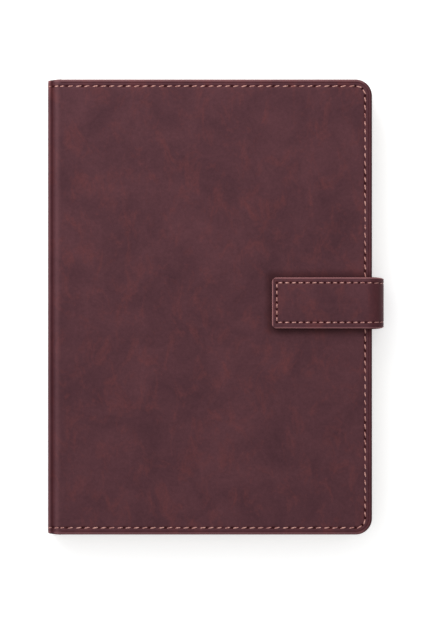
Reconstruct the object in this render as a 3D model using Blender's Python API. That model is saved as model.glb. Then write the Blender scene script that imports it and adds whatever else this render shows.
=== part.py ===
"""A closed A5 dotted notebook in stitched leatherette, with a magnetic strap round its fore edge.

Metres. The origin is the middle of the back cover's outer face: +X points to the fore edge, +Y to the
head and +Z from the back cover to the front cover. The spine is at -X.
"""

import math

import bmesh
import bpy
from mathutils import Vector

# Cover
COVER_WIDTH = 0.150
COVER_HEIGHT = 0.2106
CORNER_RADIUS = 0.0076
LEATHER = 0.0009
BOARD = 0.0013
LINING = 0.0005
LINING_INSET = 0.0010
EDGE_ROUND = 0.0005
GLUE_LINE = 0.0001

# Crease and rolled edge beside the spine, measured from the spine's outer face
ROLL_WIDTH = 0.0014
ROLL_HEIGHT = 0.0015
ROLL_SINK = 0.00015
CREASE_PLACE = 0.0024
CREASE_DEPTH = 0.0007
CREASE_END = 0.0054
PANEL_START = 0.0062
SPINE_SHORTENING = 0.0008

# Hinge of the front cover, in the fold of the endpaper
HINGE_PLACE = 0.0033
HINGE_CLEARANCE = 0.0003

# Page block, with the squares by which the covers stand out past its pages
FORE_SQUARE = 0.0034
HEAD_SQUARE = 0.0033
BLOCK_SET_BACK = 0.0032
SECTION_COUNT = 10
SECTION_THICKNESS = 0.00095
FOLD_ROUND = 0.0004
PAGE_CORNER_RADIUS = 0.0045
LEAF = 0.00012
ENDPAPER = 0.00015
STIFFENER = 0.0005
STIFFENER_MARGIN = 0.0012
GAUZE = 0.0003
GAUZE_SHORTENING = 0.012
BAND_DIAMETER = 0.0014

# Seams
SEAM_INSET = 0.0032
THREAD_DIAMETER = 0.0006
THREAD_SINK = 0.00005
GROOVE_CLEARANCE = 0.0001

# Closing strap
STRAP_WIDTH = 0.0237
STRAP_SHIFT = 0.0020
STRAP_THICKNESS = 0.0024
STRAP_OVERHANG = 0.00545
STRAP_CLEARANCE = 0.0003
STRAP_LIFT = 0.00045
TAB_RISE = 0.0008
TAB_LENGTH = 0.0463
TAB_CORNER_RADIUS = 0.0019
STRAP_SEAM_INSET = 0.0024
ROOT_LENGTH = 0.025
ROOT_THICKNESS = 0.0011
ROOT_CLEARANCE = 0.0003

# Magnet in the strap and keeper plate in the front board
MAGNET_LENGTH = 0.012
MAGNET_WIDTH = 0.010
MAGNET_THICKNESS = 0.0006
KEEPER_MARGIN = 0.002
MAGNET_PLACE = 0.012
POCKET_CLEARANCE = 0.0003

# Facets
ARC_STEPS = 8
CREASE_STEPS = 6
OVERCUT = 0.001
NEARNESS = 1e-6

SPINE = -COVER_WIDTH / 2
FORE_EDGE = COVER_WIDTH / 2
HEAD = COVER_HEIGHT / 2
PANEL = SPINE + PANEL_START
COVER_DEPTH = LEATHER + BOARD + LINING + 2 * GLUE_LINE
SHELL_DEPTH = LEATHER + GLUE_LINE + BOARD

SECTION_PITCH = SECTION_THICKNESS + GLUE_LINE
BACK_ENDPAPER_LOW = COVER_DEPTH + GLUE_LINE
SECTIONS_LOW = BACK_ENDPAPER_LOW + ENDPAPER + GLUE_LINE
FIRST_LEAF_LOW = SECTIONS_LOW + SECTION_COUNT * SECTION_PITCH
FLYLEAF_LOW = FIRST_LEAF_LOW + LEAF + GLUE_LINE
BLOCK_TOP = FLYLEAF_LOW + ENDPAPER
THICKNESS = BLOCK_TOP + GLUE_LINE + COVER_DEPTH
BLOCK_LEFT = SPINE + BLOCK_SET_BACK
PAGE_RIGHT = FORE_EDGE - FORE_SQUARE
PAGE_HEIGHT = COVER_HEIGHT - 2 * HEAD_SQUARE

HINGE_X = SPINE + HINGE_PLACE
HINGE_Z = BLOCK_TOP + GLUE_LINE / 2
PANEL_SWEEP = math.hypot(PANEL - HINGE_X, THICKNESS - HINGE_Z)
SPINE_TOP = HINGE_Z - PANEL_SWEEP - HINGE_CLEARANCE
SPINE_LENGTH = COVER_HEIGHT - 2 * SPINE_SHORTENING

TAB_LOW = THICKNESS + TAB_RISE
STRAP_FACE = FORE_EDGE + STRAP_OVERHANG
STRAP_LAYER = (STRAP_THICKNESS - GLUE_LINE) / 2
BACK_BEND = STRAP_OVERHANG - STRAP_CLEARANCE
BACK_BEND_X, BACK_BEND_Z = STRAP_FACE - BACK_BEND, STRAP_LIFT + BACK_BEND
# The outer radius of the front bend is the widest that clears the rounded edge of the front cover.
ROOM_BESIDE = STRAP_OVERHANG - STRAP_THICKNESS - STRAP_CLEARANCE
ROOM_ABOVE = TAB_RISE - STRAP_CLEARANCE
FRONT_BEND = STRAP_OVERHANG + TAB_RISE + EDGE_ROUND - STRAP_CLEARANCE + math.sqrt(2 * ROOM_BESIDE * ROOM_ABOVE)
FRONT_BEND_X, FRONT_BEND_Z = STRAP_FACE - FRONT_BEND, TAB_LOW + STRAP_THICKNESS - FRONT_BEND
# Turning about a point this far out on both axes lays a bend's middle line out straight at its own length.
BACK_PIVOT = math.pi / 4 * (BACK_BEND - STRAP_THICKNESS / 2)
FRONT_PIVOT = math.pi / 4 * (FRONT_BEND - STRAP_THICKNESS / 2)


def make_material(name, colour, roughness, metallic=0.0):
    material = bpy.data.materials.new(name)
    material.use_nodes = True
    shader = material.node_tree.nodes["Principled BSDF"]
    shader.inputs["Base Color"].default_value = (*colour, 1)
    shader.inputs["Roughness"].default_value = roughness
    shader.inputs["Metallic"].default_value = metallic
    return material


def make_collection(name):
    collection = bpy.data.collections.new(name)
    bpy.context.scene.collection.children.link(collection)
    return collection


def add(obj, material=None, axis=None):
    """Puts an object into the notebook or, with no material, among the cutters."""
    if material is None:
        obj.hide_render = True
        obj.display_type = "WIRE"
        cutters.objects.link(obj)
        return obj
    obj.data.materials.append(material)
    notebook.objects.link(obj)
    if axis:
        obj.parent = axis
        obj.matrix_parent_inverse = axis.matrix_basis.inverted()
    return obj


def make_axis(name, x, z):
    """An empty on a hinge line, which runs along Y."""
    empty = bpy.data.objects.new(name, None)
    empty.empty_display_size = COVER_WIDTH / 10
    empty.location = (x, 0, z)
    notebook.objects.link(empty)
    return empty


def box(name, low, high):
    """A cube primitive between two corners, with its origin in the middle."""
    low, high = Vector(low), Vector(high)
    mesh = bpy.data.meshes.new(name)
    bm = bmesh.new()
    bmesh.ops.create_cube(bm, size=1)
    bmesh.ops.scale(bm, vec=high - low, verts=bm.verts)
    bm.to_mesh(mesh)
    bm.free()
    obj = bpy.data.objects.new(name, mesh)
    obj.location = (low + high) / 2
    return obj


def arc(x, y, radius, start, end):
    """Points round a circle, from one angle in degrees to another."""
    angles = [math.radians(start + (end - start) * i / ARC_STEPS) for i in range(ARC_STEPS + 1)]
    return [(x + radius * math.cos(a), y + radius * math.sin(a)) for a in angles]


def round_ended(square_end, round_end, half, radius):
    """Points round three sides of a panel, from its square end to the rounded corners and back."""
    side = math.copysign(1, round_end - square_end)
    corner = round_end - side * radius
    turn = arc(0, half - radius, radius, 90, 0)
    upper = [(corner + side * x, y) for x, y in turn]
    lower = [(x, -y) for x, y in reversed(upper)]
    return [(square_end, half), *upper, *lower, (square_end, -half)]


def flat(name, outline, low, thickness):
    """A filled outline in XY with a thickness along Z."""
    curve = bpy.data.curves.new(name, "CURVE")
    curve.dimensions = "2D"
    curve.fill_mode = "BOTH"
    curve.extrude = thickness / 2
    spline = curve.splines.new("POLY")
    spline.points.add(len(outline) - 1)
    for point, (x, y) in zip(spline.points, outline):
        point.co = (x, y, 0, 1)
    spline.use_cyclic_u = True
    obj = bpy.data.objects.new(name, curve)
    obj.location.z = low + thickness / 2
    return obj


def standing(name, outline, middle, length):
    """A filled outline in XZ with a length along Y."""
    obj = flat(name, outline, 0, length)
    obj.location = (0, middle, 0)
    obj.rotation_euler.x = math.pi / 2
    return obj


def tube(name, path, z, diameter):
    curve = bpy.data.curves.new(name, "CURVE")
    curve.dimensions = "3D"
    curve.bevel_depth = diameter / 2
    curve.bevel_resolution = 1
    curve.use_fill_caps = True
    spline = curve.splines.new("POLY")
    spline.points.add(len(path) - 1)
    for point, (x, y) in zip(spline.points, path):
        point.co = (x, y, 0, 1)
    obj = bpy.data.objects.new(name, curve)
    obj.location.z = z
    return obj


def as_mesh(obj):
    """The curve object as a mesh object with its caps welded on and flat faces whole."""
    bpy.context.scene.collection.objects.link(obj)
    bpy.context.view_layer.update()
    graph = bpy.context.evaluated_depsgraph_get()
    mesh = bpy.data.meshes.new_from_object(obj.evaluated_get(graph))
    bm = bmesh.new()
    bm.from_mesh(mesh)
    bmesh.ops.remove_doubles(bm, verts=bm.verts, dist=NEARNESS)
    bmesh.ops.dissolve_limit(bm, angle_limit=math.radians(1), verts=bm.verts, edges=bm.edges)
    bm.to_mesh(mesh)
    bm.free()
    name, matrix = obj.name, obj.matrix_world.copy()
    bpy.data.objects.remove(obj)
    made = bpy.data.objects.new(name, mesh)
    made.matrix_world = matrix
    return made


def round_edges(obj, wanted, radius):
    """Rounds each edge whose two ends are wanted places."""
    bm = bmesh.new()
    bm.from_mesh(obj.data)
    edges = [edge for edge in bm.edges if wanted(*(obj.matrix_basis @ v.co for v in edge.verts))]
    bmesh.ops.bevel(bm, geom=edges, offset=radius, segments=3, profile=0.5, affect="EDGES")
    bm.to_mesh(obj.data)
    bm.free()


def same(*values):
    return max(values) - min(values) < NEARNESS


def cut(obj, cutter):
    modifier = obj.modifiers.new(cutter.name, "BOOLEAN")
    modifier.operation = "DIFFERENCE"
    modifier.object = cutter


def seam(name, face, inward, path_of, material, axis):
    """Lays a thread in a groove of a face at height z; inward is -1 for a face that looks up.

    path_of gives the seam's path at a distance from its middle. Returns the groove's cutter.
    """
    half = THREAD_DIAMETER / 2 + GROOVE_CLEARANCE
    depth = THREAD_SINK + THREAD_DIAMETER + GROOVE_CLEARANCE
    outer, inner = path_of(half, OVERCUT), path_of(-half, OVERCUT)
    low, high = sorted((face + inward * depth, face - inward * OVERCUT))
    groove = add(as_mesh(flat(name + "_groove", outer + inner[::-1], low, high - low)))
    middle = face + inward * (THREAD_SINK + THREAD_DIAMETER / 2)
    add(tube(name, path_of(0, -GLUE_LINE), middle, THREAD_DIAMETER), material, axis)
    return groove


def cover_seam_path(out, past_end):
    right = FORE_EDGE - SEAM_INSET + out
    radius = CORNER_RADIUS - SEAM_INSET + out
    return round_ended(PANEL - past_end, right, HEAD - SEAM_INSET + out, radius)


def strap_seam_path(out, past_end):
    left = FORE_EDGE - TAB_LENGTH + STRAP_SEAM_INSET - out
    half = STRAP_WIDTH / 2 - STRAP_SEAM_INSET + out
    radius = max(TAB_CORNER_RADIUS - STRAP_SEAM_INSET, THREAD_DIAMETER) + out
    path = round_ended(FRONT_BEND_X + past_end, left, half, radius)
    return [(x, y + STRAP_SHIFT) for x, y in path]


def make_cover(side, face, inward, axis):
    """Leatherette, board, lining and thread of one cover, from its outer face inwards."""

    def level(depth, thickness):
        return min(face + inward * depth, face + inward * (depth + thickness))

    low = level(0, SHELL_DEPTH)
    outline = round_ended(PANEL, FORE_EDGE, HEAD, CORNER_RADIUS)
    leather = as_mesh(flat(f"{side}_cover_leather", outline, low, SHELL_DEPTH))

    def rim(a, b):
        return same(a.z, b.z, face) and not same(a.x, b.x, PANEL)

    round_edges(leather, rim, EDGE_ROUND)
    add(leather, leatherette, axis)

    # The leatherette is turned in round the board on three sides.
    inner_radius = CORNER_RADIUS - LEATHER
    inside = round_ended(PANEL - OVERCUT, FORE_EDGE - LEATHER, HEAD - LEATHER, inner_radius)
    pocket_depth = SHELL_DEPTH - LEATHER + OVERCUT
    pocket = add(as_mesh(flat(f"{side}_board_pocket", inside, level(LEATHER, pocket_depth), pocket_depth)))
    cut(leather, pocket)

    edge = LEATHER + GLUE_LINE
    outline = round_ended(PANEL, FORE_EDGE - edge, HEAD - edge, CORNER_RADIUS - edge)
    board = as_mesh(flat(f"{side}_cover_board", outline, level(edge, BOARD), BOARD))
    add(board, greyboard, axis)

    outline = round_ended(PANEL, FORE_EDGE - LINING_INSET, HEAD - LINING_INSET, CORNER_RADIUS - LINING_INSET)
    lining_depth = SHELL_DEPTH + GLUE_LINE
    add(flat(f"{side}_cover_lining", outline, level(lining_depth, LINING), LINING), lining, axis)

    cut(leather, seam(f"{side}_cover_thread", face, inward, cover_seam_path, thread, axis))
    return leather, board


def ease(start, end, steps):
    """Points from one (x, z) to another along half a cosine wave."""
    points = []
    for i in range(1, steps + 1):
        share = i / steps
        lift = (1 - math.cos(math.pi * share)) / 2
        points.append((start[0] + (end[0] - start[0]) * share, start[1] + (end[1] - start[1]) * lift))
    return points


def joint_line(bottom, depth):
    """Line of the leatherette from the spine, over the rolled edge and the crease, to the panel.

    It is written for the front cover; bottom is where it starts on the spine, and depth is how far the
    line lies under the outer face.
    """
    roll_top = THICKNESS - ROLL_SINK
    crease = (CREASE_PLACE, THICKNESS - CREASE_DEPTH - depth)
    points = [(depth, bottom)]
    for i in range(ARC_STEPS + 1):
        angle = math.pi / 2 * i / ARC_STEPS
        x = ROLL_WIDTH - (ROLL_WIDTH - depth) * math.cos(angle)
        points.append((x, roll_top - ROLL_HEIGHT + (ROLL_HEIGHT - depth) * math.sin(angle)))
    points += ease(points[-1], crease, CREASE_STEPS)
    points += ease(crease, (CREASE_END, THICKNESS - depth), CREASE_STEPS)
    points.append((PANEL_START - GLUE_LINE, THICKNESS - depth))
    return [(SPINE + x, z) for x, z in points]


def joint_outline(bottom):
    return joint_line(bottom, 0) + joint_line(bottom, LEATHER)[::-1]


def make_spine():
    hinge = joint_outline(SPINE_TOP + GLUE_LINE)
    add(standing("front_hinge_leather", hinge, 0, SPINE_LENGTH), leatherette)

    # The spine and the back hinge are the same sheet, the other way up.
    back = [(x, THICKNESS - z) for x, z in joint_outline(THICKNESS - SPINE_TOP)]
    add(standing("spine_leather", back, 0, SPINE_LENGTH), leatherette)

    card_left = SPINE + LEATHER + GLUE_LINE
    card_low = ROLL_HEIGHT + LEATHER + STIFFENER_MARGIN
    card_half = SPINE_LENGTH / 2 - STIFFENER_MARGIN
    card_top = SPINE_TOP - STIFFENER_MARGIN
    corners = (card_left, -card_half, card_low), (card_left + STIFFENER, card_half, card_top)
    add(box("spine_stiffener", *corners), greyboard)


def make_block():
    """Sewn sections with rounded folds, their gauze, endpapers and bands."""
    half = PAGE_HEIGHT / 2
    outline = round_ended(BLOCK_LEFT, PAGE_RIGHT, half, PAGE_CORNER_RADIUS)
    pattern = as_mesh(flat("page_section", outline, 0, SECTION_THICKNESS))
    round_edges(pattern, lambda a, b: same(a.x, b.x, BLOCK_LEFT) and same(a.z, b.z), FOLD_ROUND)
    pattern.data.materials.append(paper)
    for i in range(SECTION_COUNT):
        section = bpy.data.objects.new(f"page_section_{i + 1:02d}", pattern.data)
        section.location.z = FIRST_LEAF_LOW - i * SECTION_PITCH - GLUE_LINE - SECTION_THICKNESS / 2
        notebook.objects.link(section)
    bpy.data.objects.remove(pattern)

    def sheet(name, low, thickness, axis=None):
        left = max(BLOCK_LEFT, HINGE_X) + GLUE_LINE
        outline = round_ended(left, PAGE_RIGHT, half, PAGE_CORNER_RADIUS)
        add(flat(name, outline, low, thickness), paper, axis)

    sheet("back_endpaper", BACK_ENDPAPER_LOW, ENDPAPER)
    sheet("first_leaf", FIRST_LEAF_LOW, LEAF, leaf_axis)
    sheet("front_flyleaf", FLYLEAF_LOW, ENDPAPER, flyleaf_axis)

    gauze_right = BLOCK_LEFT - GLUE_LINE
    gauze_half = half - GAUZE_SHORTENING
    sections_top = FIRST_LEAF_LOW - GLUE_LINE
    corners = (gauze_right - GAUZE, -gauze_half, SECTIONS_LOW), (gauze_right, gauze_half, sections_top)
    add(box("spine_gauze", *corners), gauze)

    radius = BAND_DIAMETER / 2
    length = sections_top - SECTIONS_LOW
    for name, way in (("head_band", 1), ("tail_band", -1)):
        mesh = bpy.data.meshes.new(name)
        bm = bmesh.new()
        bmesh.ops.create_cone(
            bm, cap_ends=True, segments=2 * ARC_STEPS, radius1=radius, radius2=radius, depth=length
        )
        bm.to_mesh(mesh)
        bm.free()
        band = bpy.data.objects.new(name, mesh)
        band.location = (BLOCK_LEFT + radius, way * (half + GLUE_LINE + radius), SECTIONS_LOW + length / 2)
        add(band, band_cloth)


def make_strap(back_leather, back_board):
    low_y, high_y = STRAP_SHIFT - STRAP_WIDTH / 2, STRAP_SHIFT + STRAP_WIDTH / 2

    # The root is skived thin and glued into a slot of the back board.
    root_low = LEATHER + GLUE_LINE + (BOARD - ROOT_THICKNESS) / 2
    root_left = FORE_EDGE - ROOT_LENGTH
    root_right = BACK_BEND_X - GLUE_LINE
    corners = (root_left, low_y, root_low), (root_right, high_y, root_low + ROOT_THICKNESS)
    add(box("strap_root", *corners), leatherette)
    slot_low = (root_left - ROOT_CLEARANCE, low_y - ROOT_CLEARANCE, LEATHER + GLUE_LINE / 2)
    slot_high = (FORE_EDGE + OVERCUT, high_y + ROOT_CLEARANCE, SHELL_DEPTH + OVERCUT)
    slot = add(box("strap_root_slot", slot_low, slot_high))
    cut(back_leather, slot)
    cut(back_board, slot)

    for name, x, z, outer, start, axis in (
        ("strap_back_bend", BACK_BEND_X, BACK_BEND_Z, BACK_BEND, -90, side_axis),
        ("strap_front_bend", FRONT_BEND_X, FRONT_BEND_Z, FRONT_BEND, 0, tab_axis),
    ):
        ring = arc(x, z, outer, start, start + 90) + arc(x, z, outer - STRAP_THICKNESS, start + 90, start)
        add(standing(name, ring, STRAP_SHIFT, STRAP_WIDTH), leatherette, axis)

    wall_inner = STRAP_FACE - STRAP_THICKNESS
    wall_middle = wall_inner + STRAP_LAYER + GLUE_LINE
    wall_low, wall_high = BACK_BEND_Z + GLUE_LINE, FRONT_BEND_Z - GLUE_LINE
    inner = (wall_inner, low_y, wall_low), (wall_inner + STRAP_LAYER, high_y, wall_high)
    outer = (wall_middle, low_y, wall_low), (wall_middle + STRAP_LAYER, high_y, wall_high)
    add(box("strap_side_lining", *inner), leatherette, side_axis)
    add(box("strap_side_leather", *outer), leatherette, side_axis)

    tab_left = FORE_EDGE - TAB_LENGTH
    outline = round_ended(FRONT_BEND_X - GLUE_LINE, tab_left, STRAP_WIDTH / 2, TAB_CORNER_RADIUS)
    outline = [(x, y + STRAP_SHIFT) for x, y in outline]
    tab_lining = as_mesh(flat("strap_tab_lining", outline, TAB_LOW, STRAP_LAYER))
    add(tab_lining, leatherette, tab_axis)
    tab_leather_low = TAB_LOW + STRAP_LAYER + GLUE_LINE
    tab_leather = as_mesh(flat("strap_tab_leather", outline, tab_leather_low, STRAP_LAYER))
    add(tab_leather, leatherette, tab_axis)
    tab_top = tab_leather_low + STRAP_LAYER
    cut(tab_leather, seam("strap_thread", tab_top, -1, strap_seam_path, thread, tab_axis))
    return tab_lining


def pocketed(name, holder, x, length, width, top, axis):
    """A thin steel plate under the middle of the strap, let into the top of its holder."""
    low = (x - length / 2, STRAP_SHIFT - width / 2, top - MAGNET_THICKNESS)
    high = (x + length / 2, STRAP_SHIFT + width / 2, top)
    add(box(name, low, high), steel, axis)
    grow = Vector((POCKET_CLEARANCE, POCKET_CLEARANCE, GLUE_LINE))
    pocket = box(name + "_pocket", Vector(low) - grow, Vector(high) + grow + Vector((0, 0, OVERCUT)))
    cut(holder, add(pocket))


for old in list(bpy.data.objects):
    bpy.data.objects.remove(old)

notebook = make_collection("dotted_notebook")
cutters = make_collection("cutters")

leatherette = make_material("leatherette", (0.098, 0.038, 0.045), 0.55)
lining = make_material("lining", (0.060, 0.030, 0.030), 0.70)
thread = make_material("thread", (0.50, 0.26, 0.22), 0.80)
greyboard = make_material("greyboard", (0.30, 0.28, 0.25), 0.90)
paper = make_material("paper", (0.86, 0.80, 0.67), 0.85)
gauze = make_material("gauze", (0.75, 0.73, 0.68), 0.90)
band_cloth = make_material("band_cloth", (0.60, 0.45, 0.33), 0.80)
steel = make_material("steel", (0.55, 0.55, 0.56), 0.35, 1.0)

cover_axis = make_axis("cover_axis", HINGE_X, HINGE_Z)
flyleaf_axis = make_axis("flyleaf_axis", HINGE_X, HINGE_Z)
leaf_axis = make_axis("leaf_axis", HINGE_X, HINGE_Z)
side_axis = make_axis("strap_side_axis", BACK_BEND_X + BACK_PIVOT, BACK_BEND_Z - BACK_PIVOT)
tab_axis = make_axis("strap_tab_axis", FRONT_BEND_X + FRONT_PIVOT, FRONT_BEND_Z + FRONT_PIVOT)

front_leather, front_board = make_cover("front", THICKNESS, -1, cover_axis)
back_leather, back_board = make_cover("back", 0, 1, None)
make_spine()
make_block()
tab_lining = make_strap(back_leather, back_board)

magnet_x = FORE_EDGE - TAB_LENGTH + MAGNET_PLACE
keeper_length, keeper_width = MAGNET_LENGTH + 2 * KEEPER_MARGIN, MAGNET_WIDTH + 2 * KEEPER_MARGIN
magnet_top = TAB_LOW + STRAP_LAYER
keeper_top = THICKNESS - LEATHER - GLUE_LINE
pocketed("strap_magnet", tab_lining, magnet_x, MAGNET_LENGTH, MAGNET_WIDTH, magnet_top, tab_axis)
pocketed("keeper_plate", front_board, magnet_x, keeper_length, keeper_width, keeper_top, cover_axis)
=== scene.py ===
import math
import random

import bmesh
import bpy
from mathutils import Matrix, Vector, kdtree


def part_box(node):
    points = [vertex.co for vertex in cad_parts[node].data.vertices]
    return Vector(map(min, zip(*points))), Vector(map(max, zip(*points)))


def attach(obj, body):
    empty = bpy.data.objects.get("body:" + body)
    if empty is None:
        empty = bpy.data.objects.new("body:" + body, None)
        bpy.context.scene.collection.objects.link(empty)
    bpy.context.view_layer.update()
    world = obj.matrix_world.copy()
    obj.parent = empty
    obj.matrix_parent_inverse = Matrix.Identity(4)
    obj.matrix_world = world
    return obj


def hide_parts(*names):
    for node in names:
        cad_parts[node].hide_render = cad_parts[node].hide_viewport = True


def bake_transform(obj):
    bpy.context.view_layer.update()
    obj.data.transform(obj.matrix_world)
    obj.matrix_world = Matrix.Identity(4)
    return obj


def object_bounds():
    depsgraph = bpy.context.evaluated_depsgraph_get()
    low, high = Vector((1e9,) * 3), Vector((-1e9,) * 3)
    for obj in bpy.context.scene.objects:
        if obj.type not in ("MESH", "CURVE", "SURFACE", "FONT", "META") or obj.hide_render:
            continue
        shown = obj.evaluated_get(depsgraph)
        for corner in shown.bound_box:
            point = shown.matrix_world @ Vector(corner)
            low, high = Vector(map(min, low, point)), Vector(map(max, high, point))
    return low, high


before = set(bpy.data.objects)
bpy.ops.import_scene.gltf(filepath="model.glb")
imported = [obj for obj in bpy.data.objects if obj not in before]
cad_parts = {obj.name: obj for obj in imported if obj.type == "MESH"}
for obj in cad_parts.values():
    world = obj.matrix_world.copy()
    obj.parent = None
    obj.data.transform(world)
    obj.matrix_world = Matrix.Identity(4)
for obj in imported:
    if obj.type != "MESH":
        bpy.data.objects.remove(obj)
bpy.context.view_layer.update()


# Greyboards: two millboards stiffen the covers and a thin strip stiffens the spine.
# They are grey recycled pulp, rolled flat, guillotined and glued behind the leather.
def tone(red, green, blue):
    """A colour written as screen values from 0 to 255, made linear."""
    linear = []
    for value in (red / 255, green / 255, blue / 255):
        low = value <= 0.04045
        linear.append(value / 12.92 if low else ((value + 0.055) / 1.055) ** 2.4)
    return (*linear, 1.0)


def new_finish(name, roughness, specular):
    """A material, the tree it is wired in and its Principled shader."""
    material = bpy.data.materials.new(name)
    material.use_nodes = True
    shader = material.node_tree.nodes["Principled BSDF"]
    shader.inputs["Roughness"].default_value = roughness
    shader.inputs["Specular IOR Level"].default_value = specular
    return material, material.node_tree, shader


def put(tree, socket, value):
    """Wires another socket into a socket, or sets a plain value on it."""
    if isinstance(value, bpy.types.NodeSocket):
        tree.links.new(value, socket)
    else:
        socket.default_value = value


def own_place(tree):
    """Where a point lies on the piece, which the patterns are laid out by."""
    return tree.nodes.new("ShaderNodeTexCoord").outputs["Object"]


def stretched(tree, place, scale, turn=0.0):
    """The same place stretched and turned about the upright axis."""
    made = tree.nodes.new("ShaderNodeMapping")
    put(tree, made.inputs["Vector"], place)
    made.inputs["Scale"].default_value = scale
    made.inputs["Rotation"].default_value = (0.0, 0.0, turn)
    return made.outputs["Vector"]


def noise(tree, place, scale, detail=4.0, roughness=0.55, distortion=0.0):
    """Cloudy noise, whose scale is a number or a socket."""
    made = tree.nodes.new("ShaderNodeTexNoise")
    put(tree, made.inputs["Vector"], place)
    put(tree, made.inputs["Scale"], scale)
    made.inputs["Detail"].default_value = detail
    made.inputs["Roughness"].default_value = roughness
    made.inputs["Distortion"].default_value = distortion
    return made.outputs["Fac"]


def levels(tree, value, low, high, to_low=0.0, to_high=1.0, way="LINEAR"):
    """A value between two levels, stretched to a new range and held inside it."""
    made = tree.nodes.new("ShaderNodeMapRange")
    made.interpolation_type = way
    wanted = {"Value": value, "From Min": low, "From Max": high, "To Min": to_low, "To Max": to_high}
    for name, part in wanted.items():
        put(tree, made.inputs[name], part)
    return made.outputs["Result"]


def reckon(tree, how, first, second=0.0):
    """One sum on two numbers or sockets."""
    made = tree.nodes.new("ShaderNodeMath")
    made.operation = how
    put(tree, made.inputs[0], first)
    put(tree, made.inputs[1], second)
    return made.outputs["Value"]


def mixed(tree, share, first, second, how="MIX"):
    """Two colours mixed by a share that is a number or a socket."""
    made = tree.nodes.new("ShaderNodeMix")
    made.data_type = "RGBA"
    made.blend_type = how
    put(tree, made.inputs[0], share)
    put(tree, made.inputs[6], first)
    put(tree, made.inputs[7], second)
    return made.outputs[2]


def surface(tree, shader, colour, height, strength, depth):
    """Gives a shader its colour, and fine relief from a height through a Bump node."""
    put(tree, shader.inputs["Base Color"], colour)
    made = tree.nodes.new("ShaderNodeBump")
    made.inputs["Strength"].default_value = strength
    made.inputs["Distance"].default_value = depth
    put(tree, made.inputs["Height"], height)
    put(tree, shader.inputs["Normal"], made.outputs["Normal"])


def new_effect(name, inputs, outputs):
    """A shader node group with a Place, named number inputs and named outputs."""
    tree = bpy.data.node_groups.new(name, "ShaderNodeTree")
    tree.interface.new_socket("Place", in_out="INPUT", socket_type="NodeSocketVector")
    for socket in inputs:
        tree.interface.new_socket(socket, in_out="INPUT", socket_type="NodeSocketFloat")
    for socket in outputs:
        tree.interface.new_socket(socket, in_out="OUTPUT", socket_type="NodeSocketFloat")
    given = tree.nodes.new("NodeGroupInput").outputs
    return tree, given, tree.nodes.new("NodeGroupOutput").inputs


def effect(tree, group, place, **values):
    """Puts a node group into a material with its own values."""
    made = tree.nodes.new("ShaderNodeGroup")
    made.node_tree = group
    put(tree, made.inputs["Place"], place)
    for name, value in values.items():
        put(tree, made.inputs[name], value)
    return made.outputs


fibres, given, asked = new_effect("pulp_fibres", ["Scale"], ["Shade", "Height"])
fine_scale = reckon(fibres, "MULTIPLY", given["Scale"], 6.0)
clumps = noise(fibres, given["Place"], given["Scale"], detail=5.0, roughness=0.65, distortion=0.4)
combed = stretched(fibres, given["Place"], (1.0, 0.22, 1.0), turn=0.6)
strands = noise(fibres, combed, fine_scale, detail=3.0)
put(fibres, asked["Shade"], levels(fibres, reckon(fibres, "ADD", clumps, strands), 0.7, 1.3))
put(fibres, asked["Height"], strands)

greyboard, tree, shader = new_finish("greyboard_pulp", roughness=0.92, specular=0.2)
pulp = effect(tree, fibres, own_place(tree), Scale=420.0)
board_colour = mixed(tree, pulp["Shade"], tone(104, 100, 93), tone(146, 141, 131))
surface(tree, shader, board_colour, pulp["Height"], strength=0.4, depth=0.0002)


def dress(node, material):
    """Gives a CAD node, whose shape stays, its own finish."""
    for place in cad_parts[node].material_slots:
        place.material = material


for board in ("front_cover_board", "back_cover_board", "spine_stiffener"):
    dress(board, greyboard)


# Front cover leather: one sheet of waxed plum-brown leatherette, mottled where it has been
# pulled, laid over the board and turned down round its edge. A creasing iron has run a line
# inside the edge, and the seam sits in a shallow channel pricked for the thread.
hide_clouds, given, asked = new_effect("hide_clouds", [], ["Cloud", "Fleck", "Speck"])
broad = noise(hide_clouds, given["Place"], 48.0, detail=8.0, roughness=0.68, distortion=0.5)
put(hide_clouds, asked["Cloud"], levels(hide_clouds, broad, 0.3, 0.72))
dragged = stretched(hide_clouds, given["Place"], (1.0, 0.6, 1.0), turn=0.5)
flecks = noise(hide_clouds, dragged, 125.0, detail=8.0, roughness=0.72, distortion=0.6)
put(hide_clouds, asked["Fleck"], levels(hide_clouds, flecks, 0.5, 0.76, 0.0, 0.85))
specks = noise(hide_clouds, given["Place"], 640.0, roughness=0.7)
put(hide_clouds, asked["Speck"], levels(hide_clouds, specks, 0.32, 0.68))

hide_grain, given, asked = new_effect("hide_grain", ["Scale"], ["Height"])
wander = hide_grain.nodes.new("ShaderNodeTexNoise")
put(hide_grain, wander.inputs["Vector"], given["Place"])
put(hide_grain, wander.inputs["Scale"], 420.0)
warped = hide_grain.nodes.new("ShaderNodeVectorMath")
warped.operation = "MULTIPLY_ADD"
put(hide_grain, warped.inputs[0], wander.outputs["Color"])
put(hide_grain, warped.inputs[1], (0.0006, 0.0006, 0.0006))
put(hide_grain, warped.inputs[2], given["Place"])
pebbles = hide_grain.nodes.new("ShaderNodeTexVoronoi")
pebbles.feature = "SMOOTH_F1"
put(hide_grain, pebbles.inputs["Vector"], warped.outputs["Vector"])
put(hide_grain, pebbles.inputs["Scale"], given["Scale"])
pebble_height = reckon(hide_grain, "SUBTRACT", 1.0, pebbles.outputs["Distance"])
pore_scale = reckon(hide_grain, "MULTIPLY", given["Scale"], 3.0)
pores = noise(hide_grain, given["Place"], pore_scale, detail=2.0)
pore_height = reckon(hide_grain, "MULTIPLY", pores, 0.5)
put(hide_grain, asked["Height"], reckon(hide_grain, "ADD", pore_height, pebble_height))


def split(tree, vector):
    """The X, Y and Z of a place or of a direction."""
    made = tree.nodes.new("ShaderNodeSeparateXYZ")
    put(tree, made.inputs["Vector"], vector)
    return made.outputs


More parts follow.
